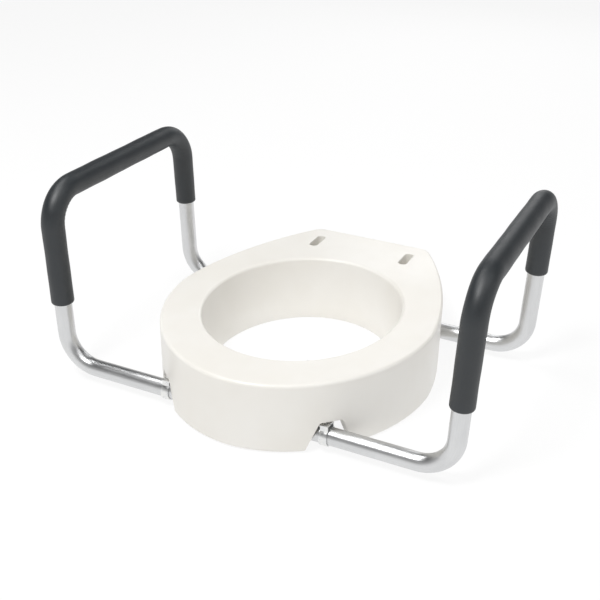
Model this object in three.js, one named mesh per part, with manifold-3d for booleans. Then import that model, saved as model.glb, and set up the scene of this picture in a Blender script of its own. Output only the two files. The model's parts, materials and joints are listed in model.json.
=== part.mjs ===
// Raised toilet seat (seat riser) with two removable padded arms.
// Millimetres, +Z up, +Y to the back (hinge) side, origin on the floor below the middle of the seat.
// The moulded shell is hollow and open underneath. Each arm is one bent tube with two legs that slide
// into the shell: an outer strap holds a leg in its notch, and an inner strap holds its end, where a
// sprung button in the tube drops into a hole in the strap and locks the arm.
import * as THREE from 'three';
import { mergeVertices } from 'three/addons/utils/BufferGeometryUtils.js';
import Module from 'manifold-3d';

const wasm = await Module();
wasm.setup();

// ---------- driving dimensions ----------
const GAP = 0.3; // clearance between pieces that touch

const PAD_PROUD = 1.5; // the rubber pads stand this far below the shell
const SHELL_HEIGHT = 92;
const SEAT_HALF_WIDTH = 178.5;
const SEAT_HALF_LENGTH = 222;
const WIDEST_Y = -18.7;
const FRONT_POWER = 1.92; // exponent of the front curve, 2 is a true ellipse
const SIDE_LENGTH = 309.4; // how far back the side curve would reach if the back weren't cut off
const SIDE_POWER = 1.55;
const BACK_CORNER_RADIUS = 20;
const WALL = 3.5;
const EDGE_ROUND = 4;

const OPENING_HALF_WIDTH = 126.7;
const OPENING_HALF_LENGTH = 143.7;
const OPENING_Y = -16.9;
const OPENING_DRAFT = 6; // the inner wall leans in this much from top to bottom
const RIM_ROUND = 4;

const BOLT_SPACING = 139.7;
const BOLT_SLOT_Y = 176;
const BOLT_SLOT_WIDTH = 12;
const BOLT_SLOT_LENGTH = 38;
const BOLT_BOSS_BOTTOM = 12;

const RIB_THICKNESS = 3;
const RIB_BOTTOM = 50;
const RIB_ANGLES = [0, 30, 66, 114, 150, 180, 205, 230, 270, 310, 335];

const PAD_SPOTS = { front: { x: 134, y: -100 }, rear: { x: 132, y: 70 } };
const PAD_RADIUS = 11;
const PAD_BOSS_RADIUS = 9;
const PAD_STEM_RADIUS = 3.6;
const PAD_STEM_LENGTH = 9;

const TUBE_RADIUS = 11.1;
const TUBE_BORE_RADIUS = 9.5;
const BEND_RADIUS = 44;
const BEND_STEPS = 5;
const PIPE_SIDES = 12;
const LEG_Z = 20.2;
const ARM_X = 261.4; // centre line of the uprights at leg height
const ARM_LEAN = 7.1; // the uprights lean out this much up to the grip
const GRIP_Z = 248.9;
const LEGS = {
  front: { y: -173.1, topY: -171.1, endX: 38, buttonX: 58, wallX: 113, foamEndZ: 105 },
  rear: { y: 126.3, topY: 124.3, endX: 60, buttonX: 80, wallX: 141.5, foamEndZ: 138 },
};
const FOAM_RADIUS = 14.5;
const FOAM_BORE_RADIUS = 11.7;

const NOTCH_TOP = 39.5;
const NOTCH_TOP_HALF_WIDTH = 9.8;
const NOTCH_CORNER = 2;
const NOTCH_BOTTOM_HALF_WIDTH = 20.5;
const NOTCH_SHIFT = 1.5; // the notch is centred this far behind the tube

const STRAP_THICKNESS = 1.5;
const STRAP_RADIUS = TUBE_RADIUS + GAP;
const OUTER_STRAP_WIDTH = 10;
const OUTER_STRAP_TOP = NOTCH_TOP - 2.3;
const OUTER_STRAP_NECK = 8.5; // the band closes in above the tube to this half-width
const OUTER_TAB_REACH = 18; // the tabs run this far inboard of the band
const OUTER_TAB_WIDTH = 7.2;
const INNER_STRAP_WIDTH = 16;
const INNER_STRAP_TOP = LEG_Z + TUBE_RADIUS + 0.4;
const INNER_STRAP_HALF_SPAN = 23.5;
const INNER_SCREW_OFFSET = 18;

const SCREW_RADIUS = 1.75;
const SCREW_LENGTH = 11;
const SCREW_HEAD_RADIUS = 3.4;
const SCREW_HEAD_HEIGHT = 2;
const SCREW_BOSS_RADIUS = 4.5;

const BUTTON_RADIUS = 3.1;
const BUTTON_REACH = 15.6; // from the tube's axis down to the button's tip
const BUTTON_FLANGE_RADIUS = 4.4;
const BUTTON_FLANGE_THICKNESS = 1.2;
const BUTTON_FLANGE_BOTTOM = -7.8; // from the tube's axis: the flange rests in the round of the bore
const SPRING_THICKNESS = 0.8;
const SPRING_WIDTH = 6.4;
const SPRING_LENGTH = 34;

const SHELL_BOTTOM = PAD_PROUD;
const SHELL_TOP = SHELL_BOTTOM + SHELL_HEIGHT;
const DECK_UNDERSIDE = SHELL_TOP - WALL;

// ---------- materials ----------
const plastic = new THREE.MeshStandardMaterial({ color: 0xf4f3ee, roughness: 0.38, metalness: 0 });
const aluminium = new THREE.MeshStandardMaterial({ color: 0xc9cbcc, roughness: 0.3, metalness: 1 });
const foam = new THREE.MeshStandardMaterial({ color: 0x3a4043, roughness: 0.75, metalness: 0 });
const platedSteel = new THREE.MeshStandardMaterial({ color: 0xd6d6d2, roughness: 0.35, metalness: 1 });
const springSteel = new THREE.MeshStandardMaterial({ color: 0x9b9c9e, roughness: 0.4, metalness: 1 });
const rubber = new THREE.MeshStandardMaterial({ color: 0x8d8f90, roughness: 0.85, metalness: 0 });

// ---------- solids ----------
function toSolid(geometry) {
  const bare = geometry.clone();
  bare.deleteAttribute('normal');
  bare.deleteAttribute('uv');
  const merged = mergeVertices(bare, 1e-4);
  return new wasm.Manifold(
    new wasm.Mesh({
      numProp: 3,
      vertProperties: new Float32Array(merged.attributes.position.array),
      triVerts: new Uint32Array(merged.index.array),
    }),
  );
}

function toGeometry(solid) {
  const data = solid.getMesh();
  const geometry = new THREE.BufferGeometry();
  geometry.setAttribute('position', new THREE.BufferAttribute(new Float32Array(data.vertProperties), 3));
  geometry.setIndex(new THREE.BufferAttribute(new Uint32Array(data.triVerts), 1));
  return geometry;
}

function box(xRange, yRange, zRange) {
  const size = [xRange, yRange, zRange].map(([low, high]) => high - low);
  const middle = [xRange, yRange, zRange].map(([low, high]) => (low + high) / 2);
  return new THREE.BoxGeometry(...size).translate(...middle);
}

// A closed solid turned about the Z axis from a profile of [radius, z] points.
function turned(profile, segments) {
  const points = profile.map(([radius, z]) => new THREE.Vector2(radius, z));
  return new THREE.LatheGeometry(points, segments).rotateX(Math.PI / 2);
}

function column(x, y, radius, bottom, top, segments = 14) {
  return turned([[0, bottom], [radius, bottom], [radius, top], [0, top]], segments).translate(x, y, 0);
}

function shapeOf(points) {
  return new THREE.Shape(points.map(([x, y]) => new THREE.Vector2(x, y)));
}

// A flat outline raised from one height to another, with both edges rounded.
function raised(points, bottom, top, round = 0, roundSteps = 2) {
  const geometry = new THREE.ExtrudeGeometry(shapeOf(points), {
    depth: top - bottom - 2 * round,
    bevelEnabled: round > 0,
    bevelSize: round,
    bevelOffset: -round,
    bevelThickness: round,
    bevelSegments: roundSteps,
    curveSegments: 1,
  });
  return geometry.translate(0, 0, bottom + round);
}

// An outline drawn in the YZ plane and run along X.
function runAlongX(points, start, length) {
  const turn = new THREE.Matrix4().makeBasis(
    new THREE.Vector3(0, 1, 0),
    new THREE.Vector3(0, 0, 1),
    new THREE.Vector3(1, 0, 0),
  );
  const geometry = new THREE.ExtrudeGeometry(shapeOf(points), { depth: length, bevelEnabled: false });
  return geometry.applyMatrix4(turn).translate(start, 0, 0);
}

function arcPoints(centreX, centreY, radius, from, to, steps) {
  return Array.from({ length: steps + 1 }, (_, i) => {
    const angle = from + ((to - from) * i) / steps;
    return [centreX + radius * Math.cos(angle), centreY + radius * Math.sin(angle)];
  });
}

// ---------- seat outline ----------
// Right half of the outline, from the middle of the front to the middle of the back.
function rightHalfOutline() {
  const frontLength = SEAT_HALF_LENGTH + WIDEST_Y;
  const half = [];
  const frontSteps = 14;
  for (let i = 0; i <= frontSteps; i += 1) {
    const angle = (Math.PI / 2) * (1 - i / frontSteps);
    const x = SEAT_HALF_WIDTH * Math.cos(angle) ** (2 / FRONT_POWER);
    half.push([x, WIDEST_Y - frontLength * Math.sin(angle) ** (2 / FRONT_POWER)]);
  }
  const backReach = SEAT_HALF_LENGTH - WIDEST_Y;
  const cutAngle = Math.asin((backReach / SIDE_LENGTH) ** (SIDE_POWER / 2));
  const side = (angle) => [
    SEAT_HALF_WIDTH * Math.cos(angle) ** (2 / SIDE_POWER),
    WIDEST_Y + SIDE_LENGTH * Math.sin(angle) ** (2 / SIDE_POWER),
  ];
  const corner = side(cutAngle);
  const before = side(cutAngle - 0.02);
  const slope = Math.atan2(corner[1] - before[1], corner[0] - before[0]);
  const setback = BACK_CORNER_RADIUS * Math.tan((Math.PI - slope) / 2);
  const sideSteps = 12;
  for (let i = 1; i <= sideSteps; i += 1) {
    const point = side((cutAngle * i) / sideSteps);
    if (Math.hypot(point[0] - corner[0], point[1] - corner[1]) > setback + 6) half.push(point);
  }
  const start = [corner[0] - setback * Math.cos(slope), corner[1] - setback * Math.sin(slope)];
  const centre = [
    start[0] - BACK_CORNER_RADIUS * Math.sin(slope),
    start[1] + BACK_CORNER_RADIUS * Math.cos(slope),
  ];
  half.push(...arcPoints(...centre, BACK_CORNER_RADIUS, slope - Math.PI / 2, Math.PI / 2, 5));
  return half;
}

function seatOutline(inset) {
  const right = rightHalfOutline();
  const left = right
    .filter(([x]) => x > 1e-6)
    .map(([x, y]) => [-x, y])
    .reverse();
  const ring = [...right, ...left];
  return ring.map((point, i) => {
    const previous = ring[(i + ring.length - 1) % ring.length];
    const next = ring[(i + 1) % ring.length];
    const along = new THREE.Vector2(next[0] - previous[0], next[1] - previous[1]).normalize();
    return [point[0] - along.y * inset, point[1] + along.x * inset];
  });
}

// ---------- opening ----------
// A drafted oval well: a turned shape stretched to the opening's length.
function ovalWell(grow, bottom, top, rim) {
  const slope = OPENING_DRAFT / SHELL_HEIGHT;
  const radiusAt = (z) => OPENING_HALF_WIDTH + grow - slope * (SHELL_TOP - z);
  const profile = [[0, bottom], [radiusAt(bottom), bottom]];
  if (rim > 0) {
    for (const angle of [0, Math.PI / 6, Math.PI / 3, Math.PI / 2]) {
      const z = SHELL_TOP - rim + rim * Math.sin(angle);
      profile.push([radiusAt(z) + rim * (1 - Math.cos(angle)), z]);
    }
    profile.push([profile.at(-1)[0], top]);
  } else {
    profile.push([radiusAt(top), top]);
  }
  profile.push([0, top]);
  return turned(profile, 44)
    .scale(1, OPENING_HALF_LENGTH / OPENING_HALF_WIDTH, 1)
    .translate(0, OPENING_Y, 0);
}

// ---------- seat shell ----------
function slotOutline(x, width, length) {
  const radius = width / 2;
  const reach = length / 2 - radius;
  return [
    ...arcPoints(x, BOLT_SLOT_Y + reach, radius, 0, Math.PI, 6),
    ...arcPoints(x, BOLT_SLOT_Y - reach, radius, Math.PI, 2 * Math.PI, 6),
  ];
}

const SIDES = { left: -1, right: 1 };

// Where the screws of a leg's two straps go, for the right-hand side.
function outerScrewSpots(leg) {
  const x = leg.wallX - OUTER_STRAP_WIDTH - OUTER_TAB_REACH + 5.5;
  const offset = OUTER_STRAP_NECK - OUTER_TAB_WIDTH / 2;
  return [-offset, offset].map((dy) => ({ x, y: leg.y + dy, z: OUTER_STRAP_TOP }));
}

function innerScrewSpots(leg) {
  return [-INNER_SCREW_OFFSET, INNER_SCREW_OFFSET].map((dy) => ({
    x: leg.buttonX,
    y: leg.y + dy,
    z: INNER_STRAP_TOP,
  }));
}

function shellInsides() {
  const parts = [ovalWell(WALL, SHELL_BOTTOM - 2, SHELL_TOP, 0)];
  for (const degrees of RIB_ANGLES) {
    const rib = box([60, 260], [-RIB_THICKNESS / 2, RIB_THICKNESS / 2], [RIB_BOTTOM, SHELL_TOP - 1]);
    parts.push(rib.rotateZ(THREE.MathUtils.degToRad(degrees)).translate(0, OPENING_Y, 0));
  }
  for (const sign of Object.values(SIDES)) {
    const boltX = (sign * BOLT_SPACING) / 2;
    const boss = slotOutline(boltX, BOLT_SLOT_WIDTH + 2 * WALL, BOLT_SLOT_LENGTH + 2 * WALL);
    parts.push(raised(boss, BOLT_BOSS_BOTTOM, SHELL_TOP - 1));
    for (const spot of Object.values(PAD_SPOTS)) {
      parts.push(column(sign * spot.x, spot.y, PAD_BOSS_RADIUS, PAD_PROUD + 2, SHELL_TOP - 1));
    }
    for (const leg of Object.values(LEGS)) {
      for (const spot of [...outerScrewSpots(leg), ...innerScrewSpots(leg)]) {
        parts.push(column(sign * spot.x, spot.y, SCREW_BOSS_RADIUS, spot.z + GAP, SHELL_TOP - 1, 10));
      }
      const middle = sign * leg.buttonX;
      const halfSpan = INNER_STRAP_HALF_SPAN;
      parts.push(
        box(
          [middle - RIB_THICKNESS / 2, middle + RIB_THICKNESS / 2],
          [leg.y - halfSpan, leg.y + halfSpan],
          [INNER_STRAP_TOP + GAP, SHELL_TOP - 1],
        ),
      );
    }
  }
  return parts;
}

function shellCuts() {
  const cuts = [ovalWell(0, SHELL_BOTTOM - 3, SHELL_TOP + 3, RIM_ROUND)];
  const pilot = SCREW_RADIUS + GAP;
  for (const sign of Object.values(SIDES)) {
    const slot = slotOutline((sign * BOLT_SPACING) / 2, BOLT_SLOT_WIDTH, BOLT_SLOT_LENGTH);
    cuts.push(raised(slot, BOLT_BOSS_BOTTOM - 1, SHELL_TOP + 1));
    for (const spot of Object.values(PAD_SPOTS)) {
      const hole = PAD_STEM_RADIUS + GAP;
      cuts.push(column(sign * spot.x, spot.y, hole, PAD_PROUD, PAD_PROUD + 2 + PAD_STEM_LENGTH, 10));
    }
    for (const leg of Object.values(LEGS)) {
      for (const spot of [...outerScrewSpots(leg), ...innerScrewSpots(leg)]) {
        cuts.push(column(sign * spot.x, spot.y, pilot, spot.z - 1, spot.z + SCREW_LENGTH + 1, 8));
      }
      const middle = leg.y + NOTCH_SHIFT;
      const notch = [
        [middle - NOTCH_BOTTOM_HALF_WIDTH, SHELL_BOTTOM - 1],
        [middle + NOTCH_BOTTOM_HALF_WIDTH, SHELL_BOTTOM - 1],
        [middle + NOTCH_TOP_HALF_WIDTH + NOTCH_CORNER / 2, NOTCH_TOP - NOTCH_CORNER],
        [middle + NOTCH_TOP_HALF_WIDTH, NOTCH_TOP],
        [middle - NOTCH_TOP_HALF_WIDTH, NOTCH_TOP],
        [middle - NOTCH_TOP_HALF_WIDTH - NOTCH_CORNER / 2, NOTCH_TOP - NOTCH_CORNER],
      ];
      const depth = 32;
      cuts.push(runAlongX(notch, sign > 0 ? leg.wallX - depth : -leg.wallX - depth, 2 * depth));
    }
  }
  return cuts;
}

function seatShell() {
  const body = toSolid(raised(seatOutline(0), SHELL_BOTTOM, SHELL_TOP, EDGE_ROUND));
  let hollow = toSolid(raised(seatOutline(WALL), SHELL_BOTTOM - 1, DECK_UNDERSIDE));
  for (const part of shellInsides()) hollow = hollow.subtract(toSolid(part));
  let shell = body.subtract(hollow);
  for (const cut of shellCuts()) shell = shell.subtract(toSolid(cut));
  return toGeometry(shell);
}

// ---------- rubber pads ----------
function footPad() {
  const profile = [
    [0, 0],
    [PAD_RADIUS - 1, 0],
    [PAD_RADIUS, 1],
    [PAD_RADIUS, PAD_PROUD + 2 - GAP],
    [PAD_STEM_RADIUS, PAD_PROUD + 2 - GAP],
    [PAD_STEM_RADIUS, PAD_PROUD + PAD_STEM_LENGTH],
    [0, PAD_PROUD + PAD_STEM_LENGTH],
  ];
  return turned(profile, 16);
}

// ---------- arms ----------
// A curve that passes through given stations only, so that each bend has its own even steps.
class StationCurve extends THREE.Curve {
  constructor(stations) {
    super();
    this.stations = stations;
  }

  stationAt(u) {
    return this.stations[Math.round(u * (this.stations.length - 1))];
  }

  getPointAt(u, target = new THREE.Vector3()) {
    return target.copy(this.stationAt(u).point);
  }

  getTangentAt(u, target = new THREE.Vector3()) {
    return target.copy(this.stationAt(u).tangent);
  }
}

// Stations along a line with rounded corners.
function bentStations(corners, radius, bendSteps) {
  const stations = [];
  const direction = (a, b) => b.clone().sub(a).normalize();
  stations.push({ point: corners[0], tangent: direction(corners[0], corners[1]) });
  for (let i = 1; i < corners.length - 1; i += 1) {
    const into = direction(corners[i - 1], corners[i]);
    const out = direction(corners[i], corners[i + 1]);
    const turn = into.angleTo(out);
    const start = corners[i].clone().addScaledVector(into, -radius * Math.tan(turn / 2));
    const inward = out.clone().addScaledVector(into, -out.dot(into)).normalize();
    for (let step = 0; step <= bendSteps; step += 1) {
      const angle = (turn * step) / bendSteps;
      const point = start
        .clone()
        .addScaledVector(into, radius * Math.sin(angle))
        .addScaledVector(inward, radius * (1 - Math.cos(angle)));
      const tangent = into.clone().multiplyScalar(Math.cos(angle)).addScaledVector(inward, Math.sin(angle));
      stations.push({ point, tangent });
    }
  }
  stations.push({ point: corners.at(-1), tangent: direction(corners.at(-2), corners.at(-1)) });
  return stations;
}

function pipe(stations, outerRadius, innerRadius, sides) {
  const ring = new THREE.Shape(arcPoints(0, 0, outerRadius, 0, 2 * Math.PI, sides)
    .slice(0, -1).map(([x, y]) => new THREE.Vector2(x, y)));
  ring.holes.push(new THREE.Path(arcPoints(0, 0, innerRadius, 0, 2 * Math.PI, sides)
    .slice(0, -1).map(([x, y]) => new THREE.Vector2(x, y))));
  return new THREE.ExtrudeGeometry(ring, {
    steps: stations.length - 1,
    extrudePath: new StationCurve(stations),
    bevelEnabled: false,
    curveSegments: 1,
  });
}

// The corners that the centre line would have with no bends: leg, upright, grip, upright, leg.
function armCorners(sign) {
  const { front, rear } = LEGS;
  const topX = ARM_X + ARM_LEAN;
  return {
    frontEnd: new THREE.Vector3(sign * front.endX, front.y, LEG_Z),
    frontFoot: new THREE.Vector3(sign * ARM_X, front.y, LEG_Z),
    frontTop: new THREE.Vector3(sign * topX, front.topY, GRIP_Z),
    rearTop: new THREE.Vector3(sign * topX, rear.topY, GRIP_Z),
    rearFoot: new THREE.Vector3(sign * ARM_X, rear.y, LEG_Z),
    rearEnd: new THREE.Vector3(sign * rear.endX, rear.y, LEG_Z),
  };
}

function armTube(sign) {
  const stations = bentStations(Object.values(armCorners(sign)), BEND_RADIUS, BEND_STEPS);
  let tube = toSolid(pipe(stations, TUBE_RADIUS, TUBE_BORE_RADIUS, PIPE_SIDES));
  for (const leg of Object.values(LEGS)) {
    const hole = column(sign * leg.buttonX, leg.y, BUTTON_RADIUS + GAP, 0, LEG_Z, 10);
    tube = tube.subtract(toSolid(hole));
  }
  return toGeometry(tube);
}

function gripFoam(sign) {
  const corners = armCorners(sign);
  const along = (foot, top, z) => foot.clone().lerp(top, (z - LEG_Z) / (GRIP_Z - LEG_Z));
  const start = along(corners.frontFoot, corners.frontTop, LEGS.front.foamEndZ);
  const end = along(corners.rearFoot, corners.rearTop, LEGS.rear.foamEndZ);
  const stations = bentStations([start, corners.frontTop, corners.rearTop, end], BEND_RADIUS, BEND_STEPS);
  return pipe(stations, FOAM_RADIUS, FOAM_BORE_RADIUS, PIPE_SIDES);
}

// ---------- straps ----------
// The band that passes under the tube, drawn about the tube's axis: down one leg, round and up.
function bandOutline(top, legOffset, lip) {
  const outer = STRAP_RADIUS + STRAP_THICKNESS;
  const foot = top - STRAP_THICKNESS;
  const outerRise = Math.acos(Math.min(1, legOffset / outer));
  const innerRise = Math.acos(Math.min(1, (legOffset - STRAP_THICKNESS) / STRAP_RADIUS));
  return [
    [-legOffset - lip, top],
    [-legOffset - lip, foot],
    [-legOffset, foot],
    ...arcPoints(0, 0, outer, Math.PI - outerRise, 2 * Math.PI + outerRise, 12),
    [legOffset, foot],
    [legOffset + lip, foot],
    [legOffset + lip, top],
    [legOffset - STRAP_THICKNESS, top],
    ...arcPoints(0, 0, STRAP_RADIUS, 2 * Math.PI + innerRise, Math.PI - innerRise, 12),
    [-legOffset + STRAP_THICKNESS, top],
  ].filter(([y, z], i, all) => i === 0 || Math.hypot(y - all[i - 1][0], z - all[i - 1][1]) > 1e-6);
}

// Drawn for the right side: the band's outer face is at x = 0 and the tabs reach inboard.
function outerStrap() {
  const top = OUTER_STRAP_TOP - LEG_Z;
  const band = bandOutline(top, OUTER_STRAP_NECK, 0);
  let strap = toSolid(runAlongX(band, -OUTER_STRAP_WIDTH, OUTER_STRAP_WIDTH));
  for (const sign of [-1, 1]) {
    const reach = [sign * (OUTER_STRAP_NECK - OUTER_TAB_WIDTH), sign * OUTER_STRAP_NECK];
    const edges = reach.sort((a, b) => a - b);
    const tab = box([-OUTER_STRAP_WIDTH - OUTER_TAB_REACH, 0], edges, [top - STRAP_THICKNESS, top]);
    strap = strap.add(toSolid(tab));
    const screwX = -OUTER_STRAP_WIDTH - OUTER_TAB_REACH + 5.5;
    const screwY = sign * (OUTER_STRAP_NECK - OUTER_TAB_WIDTH / 2);
    strap = strap.subtract(toSolid(column(screwX, screwY, SCREW_RADIUS + GAP, top - 3, top + 1, 10)));
  }
  return toGeometry(strap);
}

function innerStrap() {
  const top = INNER_STRAP_TOP - LEG_Z;
  const legOffset = STRAP_RADIUS + STRAP_THICKNESS;
  const band = bandOutline(top, legOffset, INNER_STRAP_HALF_SPAN - legOffset);
  let strap = toSolid(runAlongX(band, -INNER_STRAP_WIDTH / 2, INNER_STRAP_WIDTH));
  for (const offset of [-INNER_SCREW_OFFSET, INNER_SCREW_OFFSET]) {
    strap = strap.subtract(toSolid(column(0, offset, SCREW_RADIUS + GAP, top - 3, top + 1, 10)));
  }
  return toGeometry(strap.subtract(toSolid(column(0, 0, BUTTON_RADIUS + 0.8, -BUTTON_REACH, 0, 10))));
}

// Head down at z = 0, point up.
function strapScrew() {
  const profile = [
    [0, -SCREW_HEAD_HEIGHT],
    [SCREW_HEAD_RADIUS * 0.7, -SCREW_HEAD_HEIGHT],
    [SCREW_HEAD_RADIUS, -SCREW_HEAD_HEIGHT * 0.5],
    [SCREW_HEAD_RADIUS, 0],
    [SCREW_RADIUS, 0],
    [SCREW_RADIUS, SCREW_LENGTH - 2],
    [0, SCREW_LENGTH],
  ];
  return turned(profile, 8);
}

// ---------- snap buttons ----------
// Drawn about the tube's axis, tip down.
function snapButton() {
  const tip = -BUTTON_REACH;
  const profile = [
    [0, tip],
    [BUTTON_RADIUS * 0.6, tip + 0.4],
    [BUTTON_RADIUS, tip + 1.8],
    [BUTTON_RADIUS, BUTTON_FLANGE_BOTTOM],
    [BUTTON_FLANGE_RADIUS, BUTTON_FLANGE_BOTTOM],
    [BUTTON_FLANGE_RADIUS, BUTTON_FLANGE_BOTTOM + BUTTON_FLANGE_THICKNESS],
    [0, BUTTON_FLANGE_BOTTOM + BUTTON_FLANGE_THICKNESS],
  ];
  return turned(profile, 12);
}

// A leaf folded back on itself: one end on the button, the other against the top of the bore.
// Drawn for the right side, so the fold points outboard.
function buttonSpring() {
  const low = BUTTON_FLANGE_BOTTOM + BUTTON_FLANGE_THICKNESS + GAP;
  const high = 8.1;
  const t = SPRING_THICKNESS;
  const fold = SPRING_LENGTH;
  const outline = [
    [-4, low],
    [5, low],
    [fold - 4, -3.2],
    [fold, -1],
    [fold, 1.4],
    [fold - 4, 3.6],
    [5, high],
    [-4, high],
    [-4, high - t],
    [5, high - t],
    [fold - 4.4, 2.9],
    [fold - t, 1],
    [fold - t, -0.6],
    [fold - 4.4, -2.4],
    [5, low + t],
    [-4, low + t],
  ];
  const geometry = new THREE.ExtrudeGeometry(shapeOf(outline), {
    depth: SPRING_WIDTH,
    bevelEnabled: false,
  });
  return geometry.translate(0, 0, -SPRING_WIDTH / 2).rotateX(Math.PI / 2);
}

// ---------- assembly ----------
const part = new THREE.Group();

function addPiece(name, geometry, material, parent = part) {
  const mesh = new THREE.Mesh(geometry, material);
  mesh.name = name;
  parent.add(mesh);
  return mesh;
}

addPiece('seat_shell', seatShell(), plastic);

const padGeometry = footPad();
const outerStrapGeometry = outerStrap();
const innerStrapGeometry = innerStrap();
const screwGeometry = strapScrew();
const buttonGeometry = snapButton();
const springGeometry = buttonSpring();

for (const [side, sign] of Object.entries(SIDES)) {
  const turn = sign > 0 ? 0 : Math.PI;
  for (const [end, spot] of Object.entries(PAD_SPOTS)) {
    addPiece(`${end}_${side}_foot_pad`, padGeometry, rubber).position.set(sign * spot.x, spot.y, 0);
  }
  addPiece(`${side}_arm_tube`, armTube(sign), aluminium);
  addPiece(`${side}_arm_grip`, gripFoam(sign), foam);

  for (const [end, leg] of Object.entries(LEGS)) {
    const outer = addPiece(`${end}_${side}_outer_strap`, outerStrapGeometry, platedSteel);
    outer.position.set(sign * leg.wallX, leg.y, LEG_Z);
    outer.rotation.z = turn;
    const inner = addPiece(`${end}_${side}_inner_strap`, innerStrapGeometry, platedSteel);
    inner.position.set(sign * leg.buttonX, leg.y, LEG_Z);

    const screws = { outer: outerScrewSpots(leg), inner: innerScrewSpots(leg) };
    for (const [strap, spots] of Object.entries(screws)) {
      spots.forEach((spot, i) => {
        const screw = addPiece(`${end}_${side}_${strap}_screw_${i + 1}`, screwGeometry, platedSteel);
        screw.position.set(sign * spot.x, spot.y, spot.z - STRAP_THICKNESS - GAP);
      });
    }

    const button = addPiece(`${end}_${side}_snap_button`, buttonGeometry, springSteel);
    button.position.set(sign * leg.buttonX, leg.y, LEG_Z);
    const spring = addPiece(`${end}_${side}_button_spring`, springGeometry, springSteel);
    spring.position.set(sign * leg.buttonX, leg.y, LEG_Z);
    spring.rotation.z = turn;
  }
}

export default part;
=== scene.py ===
"""Looks of the raised toilet seat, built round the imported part.

Shapes are worked out in millimetres in the part's own frame (+Z up, +Y to the back) and written in metres.
"""

import json
import math

import bmesh
import bpy
import numpy as np
from mathutils import Matrix, Vector


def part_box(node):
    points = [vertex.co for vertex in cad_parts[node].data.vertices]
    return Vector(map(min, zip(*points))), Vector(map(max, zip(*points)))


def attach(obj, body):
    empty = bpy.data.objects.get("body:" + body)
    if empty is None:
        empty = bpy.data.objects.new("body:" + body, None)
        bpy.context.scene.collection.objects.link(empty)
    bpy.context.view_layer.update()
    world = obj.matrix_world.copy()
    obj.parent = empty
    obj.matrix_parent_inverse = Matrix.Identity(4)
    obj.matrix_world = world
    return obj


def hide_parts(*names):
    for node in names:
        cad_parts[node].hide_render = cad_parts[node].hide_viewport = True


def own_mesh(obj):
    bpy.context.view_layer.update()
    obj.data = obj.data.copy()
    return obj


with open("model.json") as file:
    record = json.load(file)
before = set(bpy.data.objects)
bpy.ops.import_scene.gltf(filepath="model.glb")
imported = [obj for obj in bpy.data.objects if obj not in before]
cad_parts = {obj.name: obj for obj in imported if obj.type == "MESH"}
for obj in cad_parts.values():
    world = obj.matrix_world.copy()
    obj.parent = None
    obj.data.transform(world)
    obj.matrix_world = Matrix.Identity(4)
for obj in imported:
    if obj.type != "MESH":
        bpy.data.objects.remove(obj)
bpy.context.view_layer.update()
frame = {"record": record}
MM = 0.001

# ---------- camera ----------
# metres, and the lens in millimetres on a 36 mm sensor
CAMERA_TARGET = Vector((-0.02043, 0.01633, 0.07927))
CAMERA_DISTANCE = 1.31213
CAMERA_AZIMUTH = math.radians(25.82)
CAMERA_ELEVATION = math.radians(27.46)
CAMERA_ROLL = math.radians(0.71)
CAMERA_LENS = 58.63
SENSOR_WIDTH = 36


def make_camera():
    data = bpy.data.cameras.new("camera")
    data.lens = CAMERA_LENS
    data.sensor_width = SENSOR_WIDTH
    data.clip_start = 0.05
    data.clip_end = 50
    camera = bpy.data.objects.new("camera", data)
    bpy.context.scene.collection.objects.link(camera)
    flat = math.cos(CAMERA_ELEVATION)
    back = Vector((
        math.sin(CAMERA_AZIMUTH) * flat,
        -math.cos(CAMERA_AZIMUTH) * flat,
        math.sin(CAMERA_ELEVATION),
    ))
    right = Vector((math.cos(CAMERA_AZIMUTH), math.sin(CAMERA_AZIMUTH), 0))
    up = back.cross(right)
    rolled_right = math.cos(CAMERA_ROLL) * right + math.sin(CAMERA_ROLL) * up
    rolled_up = back.cross(rolled_right)
    turn = Matrix((rolled_right, rolled_up, back)).transposed().to_4x4()
    camera.matrix_world = Matrix.Translation(CAMERA_TARGET + back * CAMERA_DISTANCE) @ turn
    bpy.context.scene.camera = camera


make_camera()

# ---------- dimensions, mm ----------
GAP = 0.3  # clearance between pieces that touch
PAST = 2  # a cutter runs this far past what it cuts
record = frame["record"]
BODY_OF = {n: body for body, nodes in record["behaviour"]["bodies"].items() for n in nodes}
SLOT_OF = {s["node"]: s["material_slot"] for s in record["subparts"]}


def cad_box(node):
    low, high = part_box(node)
    return low / MM, high / MM


def cad_middle(node):
    low, high = cad_box(node)
    return (low + high) / 2


SEAT_LOW, SEAT_HIGH = cad_box("seat_shell")
HALF_WIDTH = (SEAT_HIGH.x - SEAT_LOW.x) / 2
HALF_LENGTH = (SEAT_HIGH.y - SEAT_LOW.y) / 2
BOTTOM = SEAT_LOW.z
TOP = SEAT_HIGH.z
HEIGHT = TOP - BOTTOM
WIDEST_Y = -18.7
FRONT_POWER = 1.92
SIDE_LENGTH = 309.4
SIDE_POWER = 1.55
BACK_CORNER_RADIUS = 20
WALL = 3.5
EDGE_ROUND = 4
OPENING_HALF_WIDTH = 126.7
OPENING_HALF_LENGTH = 143.7
OPENING_Y = -16.9
OPENING_DRAFT = 6
RIM_ROUND = 4
INNER_FILLET = 2.5
BOLT_X = 139.7 / 2
BOLT_SLOT_Y = 176
BOLT_SLOT_WIDTH = 12
BOLT_SLOT_LENGTH = 38
BOLT_BOSS_BOTTOM = 12
SLOT_FLARE = 1.4
RIB_THICKNESS = 3
RIB_BOTTOM = 50
RIB_START, RIB_END = 60, 260  # from the opening's middle, before trimming
RIB_ANGLES = (0, 30, 66, 114, 150, 180, 205, 230, 270, 310, 335)
PAD_BOSS_RADIUS = 9
PAD_BOSS_SET_UP = 2  # above the shell's lower edge
PAD_HOLE_RADIUS = 3.9
PAD_HOLE_TOP = 12.5
SCREW_BOSS_RADIUS = 4.5
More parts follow.
